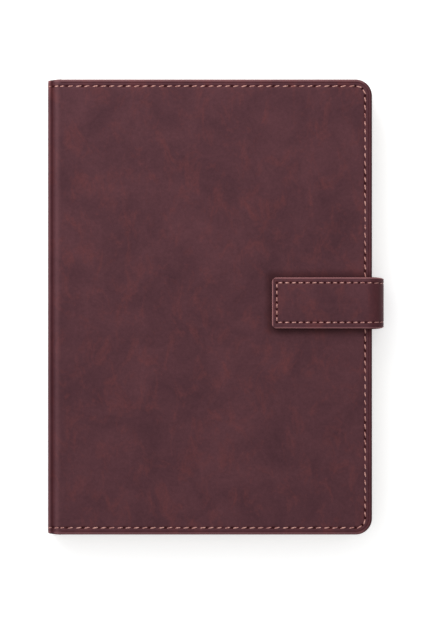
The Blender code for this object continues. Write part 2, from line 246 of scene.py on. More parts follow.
# Painted shadow: the front cover's leather is darkened softly out to this reach round the strap's
# tab, in place of the tab's cast shadow.
STRAP_SHADOW_REACH = 0.0045
painted_strap_shadow, given, asked = new_effect("painted_strap_shadow", [], ["Mark"])
tab_low, tab_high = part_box("strap_tab_leather")
side = split(painted_strap_shadow, given["Place"])
from_middle = reckon(painted_strap_shadow, "SUBTRACT", side["Y"], (tab_low.y + tab_high.y) / 2)
from_middle = reckon(painted_strap_shadow, "ABSOLUTE", from_middle)
beside = reckon(painted_strap_shadow, "SUBTRACT", from_middle, (tab_high.y - tab_low.y) / 2)
before = reckon(painted_strap_shadow, "SUBTRACT", tab_low.x, side["X"])
outside = [reckon(painted_strap_shadow, "MAXIMUM", value, 0.0) for value in (beside, before)]
squares = [reckon(painted_strap_shadow, "POWER", value, 2.0) for value in outside]
away = reckon(painted_strap_shadow, "SQRT", reckon(painted_strap_shadow, "ADD", *squares))
put(painted_strap_shadow, asked["Mark"], levels(painted_strap_shadow, away, 0.0, STRAP_SHADOW_REACH, 1.0, 0.0, "SMOOTHSTEP"))

HIDE_DARK = tone(80, 48, 55)
HIDE_WARM = tone(101, 61, 67)
HIDE_FLECK = tone(115, 62, 63)
# The worn colour also serves for painted highlights; the crease red and the dark tone are painted
# shade and shadow.
HIDE_WORN_AND_HIGHLIGHT = tone(190, 132, 133)
CREASE_SHADE_RED = tone(78, 3, 3)
PAINTED_SHADE_DARK = tone(42, 9, 10)
SPECK_SHADE = (0.83, 0.83, 0.83, 1.0)


def leather_finish(name, strap_shadow_share=0.0):
    """Waxed leatherette, with a painted shadow that darkens it round the strap by a share.

    The attribute lightens worn edges and painted highlights above 0, and below 0 paints shade: red in
    creases and grooves, dark in needle holes.
    """
    material, tree, shader = new_finish(name, roughness=0.55, specular=0.1)
    place = own_place(tree)
    clouds = effect(tree, hide_clouds, place)
    colour = mixed(tree, clouds["Cloud"], HIDE_DARK, HIDE_WARM)
    colour = mixed(tree, clouds["Fleck"], colour, HIDE_FLECK)
    speckled = mixed(tree, 1.0, colour, SPECK_SHADE, "MULTIPLY")
    colour = mixed(tree, clouds["Speck"], speckled, colour)
    # Painted shadow round the strap's tab.
    if strap_shadow_share:
        strap_shadow = effect(tree, painted_strap_shadow, place)["Mark"]
        colour = mixed(tree, reckon(tree, "MULTIPLY", strap_shadow, strap_shadow_share), colour, PAINTED_SHADE_DARK)
    wear_and_painted_light = tree.nodes.new("ShaderNodeAttribute")
    wear_and_painted_light.attribute_name = "wear_and_painted_light"
    worn_and_painted_light = levels(tree, wear_and_painted_light.outputs["Fac"], 0.0, 1.0)
    colour = mixed(tree, worn_and_painted_light, colour, HIDE_WORN_AND_HIGHLIGHT)
    # Painted shade below 0: red in creases and grooves, dark in needle holes.
    painted_shade = levels(tree, wear_and_painted_light.outputs["Fac"], 0.0, -1.0)
    colour = mixed(tree, painted_shade, colour, mixed(tree, painted_shade, CREASE_SHADE_RED, PAINTED_SHADE_DARK))
    grain = effect(tree, hide_grain, place, Scale=1150.0)
    surface(tree, shader, colour, grain["Height"], strength=0.22, depth=0.00015)
    put(tree, shader.inputs["Roughness"], levels(tree, clouds["Cloud"], 0.0, 1.0, 0.60, 0.50))
    return material


leather = leather_finish("plum_leatherette")
front_leather = leather_finish("plum_leatherette_with_painted_strap_shadow", strap_shadow_share=0.5)

NEAR = 0.00001
CORNER = 0.0076
SEAM_INSET = 0.0032
CREASE_INSET = 0.0015
CREASE_WIDTH = 0.0002
BEAD_INSET = 0.0006
BEAD_WIDTH = 0.00055
FORE_CREST = 0.00113
FORE_SHADE = 0.0008
FORE_TURN = 0.004
FORE_RUBBED = 0.7
# Painted shade: how dark the fore edge's outer rim, facing away from the light, and the creased line
# are made.
FORE_PAINTED_SHADE = 3.0
CREASE_SHADE = 0.45
RUBBED_BEAD = 0.24
RUBBED_WALL = 0.03
WALL_TOP = 0.0014
FIRST_STITCH = 0.0005
NEEDLE_DEPTH = 0.0004
NEEDLE_REACH = 0.00046
# How far the painted shade of a needle hole reaches.
NEEDLE_SHADE_REACH = 0.00056
HEAD_STITCHES = 35
CORNER_STITCHES = 2
FORE_STITCHES = 53
CORNER_CUTS = 40
SIDE_CUTS = 639
FORE_CUTS = 831
SPARE = 0.012
# Each step of the edge, from the wall's foot over the bead, the creased line and the
# seam's channel to the flat: how far in from the edge, and how far under the face.
RIM = (
    (0.0, 0.0012), (0.00004, 0.00078), (0.00014, 0.00046), (0.00034, 0.0002), (0.00064, 0.00005),
    (0.001, 0.0), (0.00128, 0.00002), (CREASE_INSET, 0.00015), (0.00172, 0.00002), (0.0022, 0.0),
    (0.00255, 0.00005), (0.00287, 0.00016), (SEAM_INSET, 0.00021), (0.00353, 0.00016),
    (0.00385, 0.00005), (0.0043, 0.0), (0.0052, 0.0),
)
LINE_END = 0.0023
CHANNEL_START = 0.002
CHANNEL_END = 0.0045

cover_low, cover_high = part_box("front_cover_leather")
board_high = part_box("front_cover_board")[1]
FACE = cover_high.z


def choose(*pieces):
    """Selects these pieces and nothing else, and makes the first one active."""
    bpy.ops.object.select_all(action="DESELECT")
    for piece in pieces:
        piece.select_set(True)
    bpy.context.view_layer.objects.active = pieces[0]


def pick(piece, kind, test):
    """Selects the vertices, edges or faces that pass a test, and nothing else."""
    bpy.ops.mesh.select_mode(type=kind)
    bpy.ops.mesh.select_all(action="DESELECT")
    mesh = bmesh.from_edit_mesh(piece.data)
    for part in {"VERT": mesh.verts, "EDGE": mesh.edges, "FACE": mesh.faces}[kind]:
        if test(part):
            part.select_set(True)
    mesh.select_flush_mode()
    bmesh.update_edit_mesh(piece.data)


def middle(part):
    """The middle of an edge, or of a face."""
    return sum((corner.co for corner in part.verts), Vector()) / len(part.verts)


def open_piece(name, scale=(1.0, 1.0, 1.0)):
    """Names the new primitive, applies its place, turn and scale, and goes into edit mode."""
    piece = bpy.context.object
    piece.name = name
    piece.scale = scale
    bpy.ops.object.transform_apply(location=True, rotation=True, scale=True)
    bpy.ops.object.mode_set(mode="EDIT")
    return piece


def new_plate(name, low, high, height):
    """A flat rectangle at its place, left in edit mode."""
    bpy.ops.object.select_all(action="DESELECT")
    centre = ((low[0] + high[0]) / 2, (low[1] + high[1]) / 2, height)
    bpy.ops.mesh.primitive_plane_add(size=1.0, location=centre)
    return open_piece(name, (high[0] - low[0], high[1] - low[1], 1.0))


def draw_out(*move):
    """Extrudes what is selected by a move."""
    bpy.ops.mesh.extrude_region_move(TRANSFORM_OT_translate={"value": move})


def step_in(rim):
    """Carries the selected face in over the steps of an edge, starting on the outline."""
    for (outer, above), (inner, under) in zip(rim, rim[1:]):
        bpy.ops.mesh.inset(thickness=inner - outer, depth=above - under)


def cut(place, way, **rest):
    """Cuts the whole mesh with a plane through a place, square to a direction."""
    bpy.ops.mesh.select_all(action="SELECT")
    bpy.ops.mesh.bisect(plane_co=place, plane_no=way, **rest)


def face_outwards():
    """Turns every face of the mesh in edit mode outwards."""
    bpy.ops.mesh.select_all(action="SELECT")
    bpy.ops.mesh.normals_make_consistent(inside=False)


def finish_piece(piece, *materials, angle=50.0):
    """Leaves edit mode, gives the piece its finishes and smooths all but its sharp edges."""
    if bpy.context.mode == "EDIT_MESH":
        bpy.ops.object.mode_set(mode="OBJECT")
    choose(piece)
    piece.data.materials.clear()
    for material in materials:
        piece.data.materials.append(material)
    bpy.ops.object.shade_smooth_by_angle(angle=math.radians(angle))
    piece.select_set(False)


def set_wear_and_light(piece, worn):
    """Writes a value for each vertex, from 1 at a worn edge and on painted highlights to -1 of
    painted shade in a needle hole.
    """
    values = piece.data.attributes.new("wear_and_painted_light", "FLOAT", "POINT").data
    for vertex in piece.data.vertices:
        values[vertex.index].value = worn(vertex)


def fade(away, reach, power=2):
    """1 at no distance, falling to 0 past a reach, and flatter on top with a higher power."""
    return math.exp(-((away / reach) ** power))


def find_holes(holes):
    """A tree that finds the nearest of the needle holes."""
    tree = kdtree.KDTree(len(holes))
    for number, hole in enumerate(holes):
        tree.insert(hole, number)
    tree.balance()
    return tree


def cover_seam():
    """The seam's stitches, as places and directions, and its needle holes, from head to tail."""
    corner_x, corner_y = cover_high.x - CORNER, cover_high.y - CORNER
    turn = CORNER - SEAM_INSET
    first = cover_low.x + FIRST_STITCH
    head = (corner_x - first) / (HEAD_STITCHES + 0.5)
    fore = 2 * corner_y / FORE_STITCHES

    def round_corner(part):
        """A place on the corner, by its share of the turn, and the way the seam runs there."""
        angle = math.pi / 2 * (1 - part)
        out = Vector((math.cos(angle), math.sin(angle), 0))
        return Vector((corner_x, corner_y, 0)) + turn * out, Vector((out.y, -out.x, 0))

    stitches = []
    holes = []
    for number in range(HEAD_STITCHES + 1):
        stitches.append((Vector((first + number * head, corner_y + turn, 0)), Vector((1, 0, 0))))
        holes.append(Vector((first + (number + 0.5) * head, corner_y + turn, 0)))
    for number in range(CORNER_STITCHES):
        stitches.append(round_corner((number + 0.5) / CORNER_STITCHES))
        holes.append(round_corner((number + 1) / CORNER_STITCHES)[0])
    tail = [(Vector((p.x, -p.y, 0)), Vector((-w.x, w.y, 0))) for p, w in reversed(stitches)]
    tail_holes = [Vector((p.x, -p.y, 0)) for p in reversed(holes)]
    for number in range(FORE_STITCHES):
        run = corner_y - (number + 0.5) * fore
        stitches.append((Vector((corner_x + turn, run, 0)), Vector((0, -1, 0))))
        holes.append(Vector((corner_x + turn, run - fore / 2, 0)))
    return stitches + tail, holes + tail_holes[1:]


seam_stitches, seam_holes = cover_seam()
needle_holes = find_holes(seam_holes)


def hole_depth(point, reach):
    """1 at the middle of a needle hole of the cover's seam, fading to 0 around it."""
    return fade(needle_holes.find((point.x, point.y, 0))[2], reach, 4)


def edge_distance(point):
    """How far a point of the cover lies in from its head, tail and fore edges."""
    across = point.x - (cover_high.x - CORNER)
    along = abs(point.y) - (cover_high.y - CORNER)
    if across > 0 and along > 0:
        return CORNER - math.hypot(across, along)
    return min(cover_high.x - point.x, cover_high.y - abs(point.y))


def cover_wear_and_light(vertex):
    """Worn on the bead; painted shade in the creased line, in the needle holes and down the fore
    edge, which faces away from the light.
    """
    inwards = edge_distance(vertex.co)
    if vertex.co.z < FACE - WALL_TOP:
        return RUBBED_WALL
    if inwards < LINE_END:
        fore = max(0.0, 1 - (cover_high.x - inwards - vertex.co.x) / FORE_TURN)
        bead = fade(inwards - BEAD_INSET, BEAD_WIDTH, 4) * (1 - fore)
        bead += fore * FORE_RUBBED * fade(inwards - FORE_CREST, CREASE_WIDTH)
        # Painted shade down the fore edge's outer rim, and in the creased line below.
        bead -= fore * FORE_PAINTED_SHADE * fade(inwards, FORE_SHADE, 4)
        return RUBBED_BEAD * bead - CREASE_SHADE * fade(inwards - CREASE_INSET, CREASE_WIDTH)
    return -hole_depth(vertex.co, NEEDLE_SHADE_REACH) if inwards < CHANNEL_END else 0.0


def make_cover_skin(name, material):
    """The leather over one board, outer face up: bead, creased line, channel and pocket."""
    start = cover_low.x - SPARE
    skin = new_plate(name, (start, cover_low.y), (cover_high.x, cover_high.y), cover_low.z)
    pick(skin, "VERT", lambda corner: corner.co.x > 0)
    bpy.ops.mesh.bevel(offset=CORNER, segments=CORNER_CUTS, affect="VERTICES")
    head, fore = cover_high.y - NEAR, cover_high.x - NEAR
    pick(skin, "EDGE", lambda edge: abs(middle(edge).y) > head and edge.calc_length() > CORNER)
    bpy.ops.mesh.subdivide(number_cuts=SIDE_CUTS)
    pick(skin, "EDGE", lambda edge: middle(edge).x > fore and edge.calc_length() > CORNER)
    bpy.ops.mesh.subdivide(number_cuts=FORE_CUTS)
    pick(skin, "FACE", lambda face: True)
    draw_out(0, 0, FACE - cover_low.z - RIM[0][1])
    step_in(RIM)
    pick(skin, "FACE", lambda face: middle(face).z < cover_low.z + NEAR)
    bpy.ops.mesh.inset(thickness=cover_high.x - board_high.x, depth=0.0)
    draw_out(0, 0, board_high.z - cover_low.z)
    face_outwards()
    cut((cover_low.x, 0, 0), (-1, 0, 0), use_fill=True, clear_outer=True)
    bpy.ops.object.mode_set(mode="OBJECT")
    for vertex in skin.data.vertices:
        in_channel = CHANNEL_START < edge_distance(vertex.co) < CHANNEL_END
        if in_channel and vertex.co.z > FACE - NEEDLE_DEPTH:
            vertex.co.z -= NEEDLE_DEPTH * hole_depth(vertex.co, NEEDLE_REACH)
    set_wear_and_light(skin, cover_wear_and_light)
    finish_piece(skin, material)
    return skin


front_skin = make_cover_skin("front_cover_hide", front_leather)
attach(front_skin, "front_cover")
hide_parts("front_cover_leather")


# Front joint leather: the strip of the same sheet that rolls over the spine's edge, is pressed
# into a groove and rises to the board, so that the cover can open. It is not glued down, and
# its two ends are turned in and drawn a little short of the boards.
SPINE_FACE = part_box("front_hinge_leather")[0].x
JOINT_FOOT = 0.00978
# The outer face from the spine over the roll and the groove to the board: how far from the
# spine's face, and how far under the cover's face.
JOINT_LINE = (
    (0.0, 0.0048), (0.0, 0.0034), (0.0, 0.0024), (0.00003, 0.0018), (0.00012, 0.00125),
    (0.00028, 0.00082), (0.00052, 0.00048), (0.0008, 0.0003), (0.00108, 0.00026), (0.00138, 0.00034),
    (0.00168, 0.00052), (0.002, 0.00072), (0.0023, 0.00084), (0.00256, 0.00086), (0.00285, 0.00078),
    (0.0032, 0.0006), (0.0036, 0.0004), (0.0041, 0.00022), (0.0046, 0.0001), (0.0051, 0.00003),
    (0.0056, 0.0), (0.0062, 0.0),
)
# Where the strip is cut across for its fine shape, closest at the creased line and the seam.
JOINT_CUTS = (
    0.0003, 0.0007, 0.0012, 0.0016, 0.0018, 0.0022, 0.0025, 0.0028, 0.003, 0.0032, 0.0034, 0.0036,
    0.0039, 0.0043, 0.005, 0.008, 0.016, 0.032, 0.06,
)
JOINT_STITCHES = (0.0011, 0.0041, 0.0067)
JOINT_HOLES = (0.0025, 0.0055, 0.0086)
# Painted highlights on the roll and the board's crest, and painted shade in the groove below 0: how
# much, how far from the spine's face and how wide.
JOINT_HIGHLIGHTS_AND_SHADE = ((0.16, 0.0009, 0.0006), (0.07, 0.0043, 0.0011), (-0.42, 0.0021, 0.0007))
JOINT_HOLE_SHADE = 0.9
JOINT_PRICK = 0.0002
PRICK_LENGTH = 0.0004
PRICK_WIDTH = 0.00042
JOINT_CHANNEL = 0.00018
CHANNEL_WIDTH = 0.0004
JOINT_CREASE = 0.0001
JOINT_TOP = 0.0015
JOINT_HIDE = 0.0007
DRAWN_SHORT = 0.0009
DRAWN_OVER = 0.0024
DRAWN_FROM = 0.02
TURNED_IN = 0.0008
TURNED_UNDER = 0.00035


def drawn(away):
    """How far short of the boards the joint's ends are, by the distance from the spine."""
    end = math.exp(-JOINT_LINE[-1][0] / DRAWN_OVER)
    return DRAWN_SHORT * max(0.0, math.exp(-away / DRAWN_OVER) - end)


def joint_wear_and_light(away, left, prick, on_top):
    """Worn at the ends, with painted highlights on the roll and the board's crest, and painted shade
    in the groove and the holes.
    """
    worn_and_painted_light = RUBBED_BEAD * fade(left - BEAD_INSET, BEAD_WIDTH, 4)
    if on_top:
        # Painted highlights on the roll and the board's crest, and painted shade in the groove and
        # the needle holes.
        worn_and_painted_light += sum(share * fade(away - place, width) for share, place, width in JOINT_HIGHLIGHTS_AND_SHADE)
        worn_and_painted_light -= JOINT_HOLE_SHADE * prick
    return max(-1.0, worn_and_painted_light)


def make_joint_skin(name, start):
    """Leather drawn out along the joint's line, from a height on the spine to the board."""
    bpy.ops.object.select_all(action="DESELECT")
    first = FACE - JOINT_LINE[0][1]
    centre = (SPINE_FACE, 0, (start + first) / 2)
    upright = (0, math.radians(-90), 0)
    bpy.ops.mesh.primitive_plane_add(size=1.0, location=centre, rotation=upright)
    skin = open_piece(name, (first - start, 2 * cover_high.y, 1.0))
    pick(skin, "EDGE", lambda edge: middle(edge).z > first - NEAR)
    for (near, above), (far, under) in zip(JOINT_LINE, JOINT_LINE[1:]):
        draw_out(far - near, 0, above - under)
    for from_end in JOINT_CUTS:
        for side in (-1, 1):
            cut((0, side * (cover_high.y - from_end), 0), (0, 1, 0))
    face_outwards()
    mesh = bmesh.from_edit_mesh(skin.data)
    if sum(face.normal.z - face.normal.x for face in mesh.faces) < 0:
        bpy.ops.mesh.flip_normals()
    bpy.ops.object.mode_set(mode="OBJECT")
    worn_and_painted_light = []
    for vertex in skin.data.vertices:
        away = vertex.co.x - SPINE_FACE
        left = cover_high.y - abs(vertex.co.y)
        on_top = vertex.co.z > FACE - JOINT_TOP
        prick = sum(fade(away - hole, PRICK_LENGTH) for hole in JOINT_HOLES)
        prick *= fade(left - SEAM_INSET, PRICK_WIDTH)
        worn_and_painted_light.append(joint_wear_and_light(away, left, prick, on_top))
        sunk = TURNED_UNDER * max(0.0, 1 - left / TURNED_IN) ** 2
        if on_top:
            sunk += JOINT_CHANNEL * fade(left - SEAM_INSET, CHANNEL_WIDTH) + JOINT_PRICK * prick
            sunk += JOINT_CREASE * fade(left - CREASE_INSET, CREASE_WIDTH)
            vertex.co.z -= sunk
        else:
            vertex.co.x += sunk
        short = drawn(away) * max(0.0, 1 - left / DRAWN_FROM)
        vertex.co.y -= math.copysign(short, vertex.co.y)
    set_wear_and_light(skin, lambda vertex: worn_and_painted_light[vertex.index])
    wall = skin.modifiers.new("hide_thickness", "SOLIDIFY")
    wall.thickness = JOINT_HIDE
    wall.offset = -1.0
    bpy.ops.object.modifier_apply(modifier=wall.name)
    finish_piece(skin, leather)
    return skin


front_joint = make_joint_skin("front_joint_hide", JOINT_FOOT)
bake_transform(front_joint)
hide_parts("front_hinge_leather")


# Spine and back cover leather: the rest of the sheet, down the flat spine, through the back
# joint and over the back board. It is the front turned upside down, and glued to the block.
TURNED_OVER = Matrix.Translation((0, 0, FACE)) @ Matrix.Scale(-1, 4, (0, 0, 1))


def turn_over(piece):
    """Turns a finished front piece into its fellow on the back, mirrored at mid-thickness."""
    piece.data.transform(TURNED_OVER)
    piece.data.flip_normals()
    return piece


spine_skin = turn_over(make_joint_skin("spine_hide", FACE - JOINT_FOOT))
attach(spine_skin, "book")
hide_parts("spine_leather")

back_skin = turn_over(make_cover_skin("back_cover_hide", leather))
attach(back_skin, "book")
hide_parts("back_cover_leather")


# Cover linings: thin smooth brown leatherette glued over the turned edges, so that the inside
# of each cover is finished. Their solids are right and keep their shape.
def lining_finish(name, dark, light):
    """Smooth leatherette with a fine, even grain and a faint bloom."""
    material, tree, shader = new_finish(name, roughness=0.62, specular=0.25)
    place = own_place(tree)
    clouds = effect(tree, hide_clouds, place)
    colour = mixed(tree, clouds["Cloud"], dark, light)
    grain = effect(tree, hide_grain, place, Scale=1700.0)
    surface(tree, shader, colour, grain["Height"], strength=0.3, depth=0.0001)
    put(tree, shader.inputs["Roughness"], levels(tree, clouds["Speck"], 0.0, 1.0, 0.58, 0.68))
    return material


lining = lining_finish("brown_lining", tone(70, 47, 44), tone(84, 58, 54))
for sheet in ("front_cover_lining", "back_cover_lining"):
    dress(sheet, lining)


# Page sections: ten folded gatherings of ivory paper, four sheets in each, nested at the fold,
# sewn through it and trimmed flush with round corners. The pages carry a pale 5 mm dot grid.
SECTIONS = 10
SHEETS = 4
PAPER = 0.000085
PAPER_GAP = 0.00011875
PAGE_CORNER = 0.0045
FOLD_STEPS = 5
DOT_PITCH = 0.005
DOT_RADIUS = 0.0003
DOTS_ALONG = 0.0965
DOTS_ACROSS = 0.0665
IVORY = (tone(244, 234, 214), tone(241, 230, 208))
DOT_GREY = tone(122, 120, 116)
LEAF_SHADE_LINE = tone(150, 138, 112)
page_low, page_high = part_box("page_section_01")


def paper_finish(name, colour, shade, dots_across=0.0, bends=False):
    """Uncoated paper with its fibres, faint painted shade lines between leaves on its trimmed edges,
    and dots out to a half-width.

    A leaf that bends keeps its printed places in an attribute.
    """
    material, tree, shader = new_finish(name, roughness=0.88, specular=0.2)
    place = own_place(tree)
    if bends:
        printed = tree.nodes.new("ShaderNodeAttribute")
        printed.attribute_name = "printed_place"
        place = printed.outputs["Vector"]
    pulp = effect(tree, fibres, place, Scale=260.0)
    paper = mixed(tree, pulp["Shade"], shade, colour)
    facing = split(tree, tree.nodes.new("ShaderNodeTexCoord").outputs["Normal"])
    trimmed = levels(tree, reckon(tree, "ABSOLUTE", facing["Z"]), 0.3, 0.7, 1.0, 0.0)
    # Painted shade: faint dark lines between the leaves on the trimmed edges.
    leaves = noise(tree, stretched(tree, place, (0.02, 0.02, 1.0)), 1700.0, roughness=0.85)
    between = reckon(tree, "MULTIPLY", levels(tree, leaves, 0.3, 0.62, 0.45, 0.0), trimmed)
    paper = mixed(tree, between, paper, LEAF_SHADE_LINE)
    if dots_across:
        side = split(tree, place)
        square = 0.0
        inside = 1.0
        for axis, reach in (("X", dots_across), ("Y", DOTS_ALONG)):
            step = reckon(tree, "PINGPONG", side[axis], DOT_PITCH / 2)
            square = reckon(tree, "ADD", reckon(tree, "POWER", step, 2.0), square)
            within = reckon(tree, "LESS_THAN", reckon(tree, "ABSOLUTE", side[axis]), reach)
            inside = reckon(tree, "MULTIPLY", within, inside)
        dot = levels(tree, reckon(tree, "SQRT", square), DOT_RADIUS * 1.15, DOT_RADIUS * 0.85)
        paper = mixed(tree, reckon(tree, "MULTIPLY", dot, inside), paper, DOT_GREY)
    surface(tree, shader, paper, pulp["Height"], strength=0.12, depth=0.0001)
    return material


page_paper = paper_finish("dotted_ivory_paper", *IVORY, DOTS_ACROSS)


def new_leaf(name, low, high, height):
    """One leaf's flat outline, round at its two free corners, left in edit mode."""
    leaf = new_plate(name, low, high, height)
    pick(leaf, "VERT", lambda corner: corner.co.x > 0)
    bpy.ops.mesh.bevel(offset=PAGE_CORNER, segments=8, affect="VERTICES")
    return leaf


def thicken(sheet, thickness):
    """Adds the thickness of a sheet, half to each side, as the last modifier."""
    wall = sheet.modifiers.new("paper_thickness", "SOLIDIFY")
    wall.thickness = thickness
    wall.offset = 0.0


def other_half(piece, name):
    """Adds the half below the piece, as its mirror image."""
    made = piece.modifiers.new(name, "MIRROR")
    made.use_axis = (False, False, True)
    made.merge_threshold = 0.000005


def apply_all(piece):
    """Applies a piece's modifiers in their order."""
    choose(piece)
    for modifier in list(piece.modifiers):
        bpy.ops.object.modifier_apply(modifier=modifier.name)


def join(pieces, name):
    """Makes several finished meshes one piece."""
    choose(*pieces)
    bpy.ops.object.join()
    pieces[0].name = name
    return pieces[0]


def copy_of(piece):
    """A copy with its own mesh."""
    made = piece.copy()
    made.data = piece.data.copy()
    bpy.context.scene.collection.objects.link(made)
    return made


def folded_sheet(level):
    """One sheet: a leaf and half its fold, mirrored into both leaves and given thickness."""
    outer = (SHEETS - 0.5) * PAPER_GAP
    round_fold = (level + 0.5) * PAPER_GAP
    fold = page_low.x + PAPER / 2 + outer
    sheet = new_leaf("folded_sheet", (fold, page_low.y), (page_high.x, page_high.y), round_fold)
    pick(sheet, "EDGE", lambda edge: middle(edge).x < fold + NEAR)
    for step in range(FOLD_STEPS):
        now, then = (math.radians(90 + 90 * (step + part) / FOLD_STEPS) for part in (0, 1))
        inwards = round_fold * (math.cos(then) - math.cos(now))
        draw_out(inwards, 0, round_fold * (math.sin(then) - math.sin(now)))
    bpy.ops.object.mode_set(mode="OBJECT")
    other_half(sheet, "other_leaf")
    thicken(sheet, PAPER)
    apply_all(sheet)
    return sheet


section = join([folded_sheet(level) for level in range(SHEETS)], "page_gathering")
finish_piece(section, page_paper, angle=40.0)
for number in range(1, SECTIONS + 1):
    node = f"page_section_{number:02d}"
    low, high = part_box(node)
    gathering = copy_of(section) if number < SECTIONS else section
    gathering.name = f"page_gathering_{number:02d}"
    gathering.data.transform(Matrix.Translation((0, 0, (low.z + high.z) / 2)))
    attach(gathering, "book")
    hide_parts(node)


# Endpaper, flyleaf and first leaf: single sheets tipped on along the spine edge, the outer two
# of plain heavier stock. The front two are thin enough to bend where they leave the gutter.
PLAIN_STOCK = (tone(240, 229, 207), tone(237, 225, 202))
GUTTER = 0.005
GUTTER_CUTS = 14
LEAF_DOTS_ACROSS = 0.0615

dress("back_endpaper", paper_finish("plain_end_paper", *PLAIN_STOCK))


def make_loose_leaf(name, node, material):
    """A single leaf in the place of a CAD node, cut finely where it bends at the gutter."""
    low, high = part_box(node)
    level = (low.z + high.z) / 2
    leaf = new_leaf(name, (low.x, low.y), (high.x, high.y), level)
    for step in range(1, GUTTER_CUTS + 1):
        cut((low.x + GUTTER * step / GUTTER_CUTS, 0, 0), (1, 0, 0))
    bpy.ops.object.mode_set(mode="OBJECT")
    thicken(leaf, high.z - low.z)
    apply_all(leaf)
    finish_piece(leaf, material, angle=40.0)
    places = leaf.data.attributes.new("printed_place", "FLOAT_VECTOR", "POINT").data
    for vertex in leaf.data.vertices:
        places[vertex.index].vector = vertex.co
    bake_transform(leaf)
    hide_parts(node)


fly_paper = paper_finish("plain_fly_paper", *PLAIN_STOCK, bends=True)
make_loose_leaf("front_fly_sheet", "front_flyleaf", fly_paper)
leaf_paper = paper_finish("dotted_leaf_paper", *IVORY, LEAF_DOTS_ACROSS, bends=True)
make_loose_leaf("first_dotted_leaf", "first_leaf", leaf_paper)


# Spine gauze and end bands: open-weave cotton mull glued over the folds, and a wound two-colour
# roll at head and tail that covers the ends of the gatherings.
MESH_PITCH = 0.0009
gauze, tree, shader = new_finish("cotton_mull", roughness=0.9, specular=0.15)
side = split(tree, own_place(tree))
warp = reckon(tree, "PINGPONG", side["Y"], MESH_PITCH / 2)
weft = reckon(tree, "PINGPONG", side["Z"], MESH_PITCH / 2)
gauze_yarn = levels(tree, reckon(tree, "MINIMUM", warp, weft), 0.0, MESH_PITCH * 0.3, 1.0, 0.0)
gauze_colour = mixed(tree, gauze_yarn, tone(176, 160, 128), tone(232, 226, 210))
surface(tree, shader, gauze_colour, gauze_yarn, strength=0.8, depth=0.0002)
dress("spine_gauze", gauze)

BAND_STRIPE = 0.0016
band_yarn, tree, shader = new_finish("wound_band_yarn", roughness=0.8, specular=0.2)
place = own_place(tree)
stripe = reckon(tree, "PINGPONG", split(tree, place)["Z"], BAND_STRIPE)
stripe = levels(tree, stripe, BAND_STRIPE * 0.45, BAND_STRIPE * 0.55)
striped = mixed(tree, stripe, tone(228, 216, 190), tone(96, 52, 54))
yarn = effect(tree, fibres, place, Scale=900.0)
band_colour = mixed(tree, 0.25, striped, yarn["Shade"], "SOFT_LIGHT")
surface(tree, shader, band_colour, yarn["Height"], strength=0.5, depth=0.0001)

WINDINGS = 26
WINDING_DEPTH = 0.16
for node in ("head_band", "tail_band"):
    low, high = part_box(node)
    core = (low + high) / 2
    length = high.z - low.z
    radius = (high.x - low.x) / 2
    bpy.ops.object.select_all(action="DESELECT")
    bpy.ops.mesh.primitive_cylinder_add(vertices=12, radius=radius, depth=length, location=core)
    band = open_piece(node + "_winding")
    for step in range(1, 2 * WINDINGS):
        cut((0, 0, low.z + length * step / (2 * WINDINGS)), (0, 0, 1))
    bpy.ops.object.mode_set(mode="OBJECT")
    for vertex in band.data.vertices:
        turn = (vertex.co.z - low.z) / length * WINDINGS
        thin = 1.0 - WINDING_DEPTH * (0.5 + 0.5 * math.cos(2 * math.pi * turn))
        vertex.co.x = core.x + (vertex.co.x - core.x) * thin
        vertex.co.y = core.y + (vertex.co.y - core.y) * thin
    finish_piece(band, band_yarn, angle=60.0)
    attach(band, "book")
    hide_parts(node)


# Cover stitching: waxed tan-pink thread, sewn by a machine right through leather, board and
# lining round head, fore edge and tail, each stitch a short slanting twist between two holes.
thread, tree, shader = new_finish("waxed_tan_thread", roughness=0.62, specular=0.3)
ply = effect(tree, fibres, own_place(tree), Scale=1300.0)
wax = levels(tree, ply["Shade"], 0.25, 0.7)
thread_colour = mixed(tree, wax, tone(146, 80, 78), tone(236, 182, 170))
surface(tree, shader, thread_colour, ply["Height"], strength=0.5, depth=0.00008)

UP = Vector((0, 0, 1))
STITCH_SLANT = math.radians(11)
STITCH_RINGS = (-0.76, -0.42, 0.0, 0.42, 0.76)
PLY_TWIST = 1.25
PLY_DEPTH = 0.17
ENDS_THINNED = 0.42
ENDS_DRAWN = 0.9
STITCH_ARCH = 0.1
OUTER_SUNK = 0.00016
INNER_SUNK = 0.00014
JOINT_SUNK = 0.0002
ROLL_SUNK = 0.00032
JOINT_SHARE = 0.78
ROLL_SHARE = 0.6


def new_stitch(name, length, radius):
    """One stitch along X: a two-ply twist, arched, with its ends drawn down into the holes."""
    bpy.ops.object.select_all(action="DESELECT")
    lying = (0, math.radians(90), 0)
    bpy.ops.mesh.primitive_cylinder_add(vertices=8, radius=radius, depth=length, rotation=lying)
    stitch = open_piece(name)
    for part in STITCH_RINGS:
        cut((part * length / 2, 0, 0), (1, 0, 0))
    bpy.ops.object.mode_set(mode="OBJECT")
    for vertex in stitch.data.vertices:
        along = vertex.co.x / (length / 2)
        angle = math.atan2(vertex.co.z, vertex.co.y)
        thick = radius * (1 - ENDS_THINNED * along**4)
        thick *= 1 + PLY_DEPTH * math.cos(2 * (angle + along * PLY_TWIST))
        vertex.co.y = thick * math.cos(angle)
        vertex.co.z = thick * math.sin(angle) + radius * (STITCH_ARCH - ENDS_DRAWN * along**4)
    finish_piece(stitch, thread, angle=80.0)
    return stitch


def sew(name, stitch, places):
    """Copies a stitch to each place, every copy with its own mesh, and joins the run."""
    sewn = []
    for place in places:
        copy = copy_of(stitch)
        copy.data.transform(place)
        if place.determinant() < 0:
            copy.data.flip_normals()
        sewn.append(copy)
    run = join(sewn, name)
    return run


